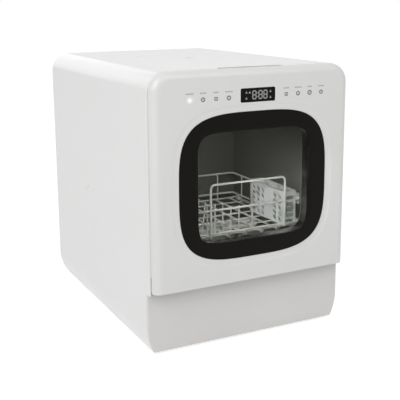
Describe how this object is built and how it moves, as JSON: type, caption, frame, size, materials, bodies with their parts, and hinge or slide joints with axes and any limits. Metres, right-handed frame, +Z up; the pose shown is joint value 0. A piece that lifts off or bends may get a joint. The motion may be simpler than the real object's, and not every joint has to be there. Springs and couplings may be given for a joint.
{
  "type": "countertop dishwasher",
  "caption": "Boxy white countertop dishwasher with a drop-down glass door, a wire dish rack that slides out with it, two spray arms, pumps and a top-filled water tank.",
  "frame": {"origin": "centre of the footprint on the surface that the dishwasher stands on", "axes": "+Z up, -Y out of the front, +X to the right of the door as seen from inside the machine looking back, which is the viewer's right when facing the door"},
  "size_m": [0.34, 0.462, 0.426],
  "materials": {
    "white_plastic": "gloss",
    "pale_grey_plastic": "satin",
    "grey_plastic": "matt",
    "dark_plastic": "matt",
    "tan_plastic": "matt",
    "orange_plastic": "matt",
    "blue_plastic": "matt",
    "clear_plastic": "gloss",
    "black_gloss": "gloss",
    "black_rubber": "matt",
    "grey_rubber": "matt",
    "steel": "brushed",
    "dark_steel": "satin",
    "white_coating": "satin",
    "tinted_glass": "clear",
    "clear_glass": "clear",
    "green_board": "satin"
  },
  "bodies": {
    "cabinet": {"outer_shell": "white_plastic", "rear_cover": "white_plastic", "base_tray": "grey_plastic", "kick_panel": "white_plastic", "front_frame": "white_plastic", "rubber_feet": "black_rubber", "tub": "steel", "tub_seal": "grey_rubber", "sump": "grey_plastic", "strainer_plate": "steel", "spray_hub_lower": "grey_plastic", "spray_hub_upper": "grey_plastic", "riser_pipe": "grey_plastic", "heating_element": "dark_steel", "wash_pump_casing": "grey_plastic", "wash_pump_motor": "dark_steel", "drain_pump_body": "dark_plastic", "drain_hose": "grey_rubber", "water_tank": "clear_plastic", "tank_hose": "grey_rubber", "float_stem": "grey_plastic", "fill_funnel": "pale_grey_plastic", "roller_studs": "steel", "blower_housing": "grey_plastic", "inlet_valve": "blue_plastic", "inlet_spigot": "grey_plastic", "drain_spigot": "grey_plastic", "cord_gland": "dark_plastic", "power_board": "green_board", "hinge_brackets": "steel", "hinge_pins": "dark_steel", "latch_housing": "dark_plastic", "screws": "steel"},
    "door": {"door_panel": "white_plastic", "door_liner": "white_plastic", "window_bezel": "black_gloss", "outer_glass": "tinted_glass", "inner_glass": "clear_glass", "display_window": "black_gloss", "control_board": "green_board", "latch_tongue": "grey_plastic", "detergent_cup": "grey_plastic"},
    "detergent_flap": {"detergent_lid": "pale_grey_plastic"},
    "rack": {"rack_frame": "white_coating", "rack_floor": "white_coating", "plate_tines": "white_coating"},
    "basket": {"cutlery_basket": "white_plastic", "basket_lid": "white_plastic"},
    "front_rollers": {"rack_rollers_front": "pale_grey_plastic"},
    "rear_rollers": {"rack_rollers_rear": "pale_grey_plastic"},
    "lower_arm": {"spray_arm_lower": "pale_grey_plastic"},
    "upper_arm": {"spray_arm_upper": "pale_grey_plastic"},
    "filter": {"filter_cup": "dark_plastic"},
    "wash_rotor": {"wash_impeller": "tan_plastic"},
    "drain_rotor": {"drain_impeller": "tan_plastic"},
    "blower_rotor": {"blower_wheel": "dark_plastic"},
    "level_float": {"tank_float": "orange_plastic"},
    "sump_float": {"leak_float": "white_plastic"},
    "top_cover": {"fill_cover": "white_plastic"},
    "door_switch": {"switch_plunger": "orange_plastic"}
  },
  "joints": [
    {"name": "door_hinge", "type": "hinge", "parent": "cabinet", "child": "door", "pos_m": [0, -0.221, 0.111], "axis": [1, 0, 0], "range_deg": [0, 90]},
    {"name": "detergent_flap_hinge", "type": "hinge", "parent": "door", "child": "detergent_flap", "pos_m": [0.054, -0.2037, 0.1267], "axis": [-1, 0, 0], "range_deg": [0, 90]},
    {"name": "rack_slide", "type": "slide", "parent": "cabinet", "child": "rack", "axis": [0, -1, 0], "range_m": [0, 0.1401]},
    {"name": "basket_lift", "type": "slide", "parent": "rack", "child": "basket", "axis": [0, 0, 1], "range_m": [0, 0.05]},
    {"name": "front_roller_spin", "type": "hinge", "parent": "cabinet", "child": "front_rollers", "pos_m": [0, -0.128, 0.13945], "axis": [1, 0, 0], "continuous": true},
    {"name": "rear_roller_spin", "type": "hinge", "parent": "cabinet", "child": "rear_rollers", "pos_m": [0, -0.062, 0.13945], "axis": [1, 0, 0], "continuous": true},
    {"name": "lower_arm_spin", "type": "hinge", "parent": "cabinet", "child": "lower_arm", "pos_m": [0, -0.0492, 0.1345], "axis": [0, 0, 1], "continuous": true},
    {"name": "upper_arm_spin", "type": "hinge", "parent": "cabinet", "child": "upper_arm", "pos_m": [0, -0.0492, 0.3835], "axis": [0, 0, 1], "continuous": true},
    {"name": "filter_twist", "type": "hinge", "parent": "cabinet", "child": "filter", "pos_m": [0.072, -0.1302, 0.105], "axis": [0, 0, 1], "range_deg": [0, 60]},
    {"name": "wash_rotor_spin", "type": "hinge", "parent": "cabinet", "child": "wash_rotor", "pos_m": [0.02, -0.1302, 0.054], "axis": [1, 0, 0], "continuous": true},
    {"name": "drain_rotor_spin", "type": "hinge", "parent": "cabinet", "child": "drain_rotor", "pos_m": [0.072, -0.0942, 0.054], "axis": [0, 1, 0], "continuous": true},
    {"name": "blower_spin", "type": "hinge", "parent": "cabinet", "child": "blower_rotor", "pos_m": [-0.112, 0.0348, 0.406], "axis": [0, 0, 1], "continuous": true},
    {"name": "tank_float_slide", "type": "slide", "parent": "cabinet", "child": "level_float", "axis": [0, 0, 1], "range_m": [0, 0.23]},
    {"name": "leak_float_slide", "type": "slide", "parent": "cabinet", "child": "sump_float", "axis": [0, 0, 1], "range_m": [0, 0.008]},
    {"name": "fill_cover_lift", "type": "slide", "parent": "cabinet", "child": "top_cover", "axis": [0, 0, 1], "range_m": [0, 0.06]},
    {"name": "door_switch_press", "type": "slide", "parent": "cabinet", "child": "door_switch", "axis": [0, 1, 0], "range_m": [0, 0.0015], "stiffness_N_per_m": 400}
  ],
  "couplings": [
    {"joint": "rack_slide", "follows": "door_hinge", "m_per_rad": 0.089127}
  ]
}
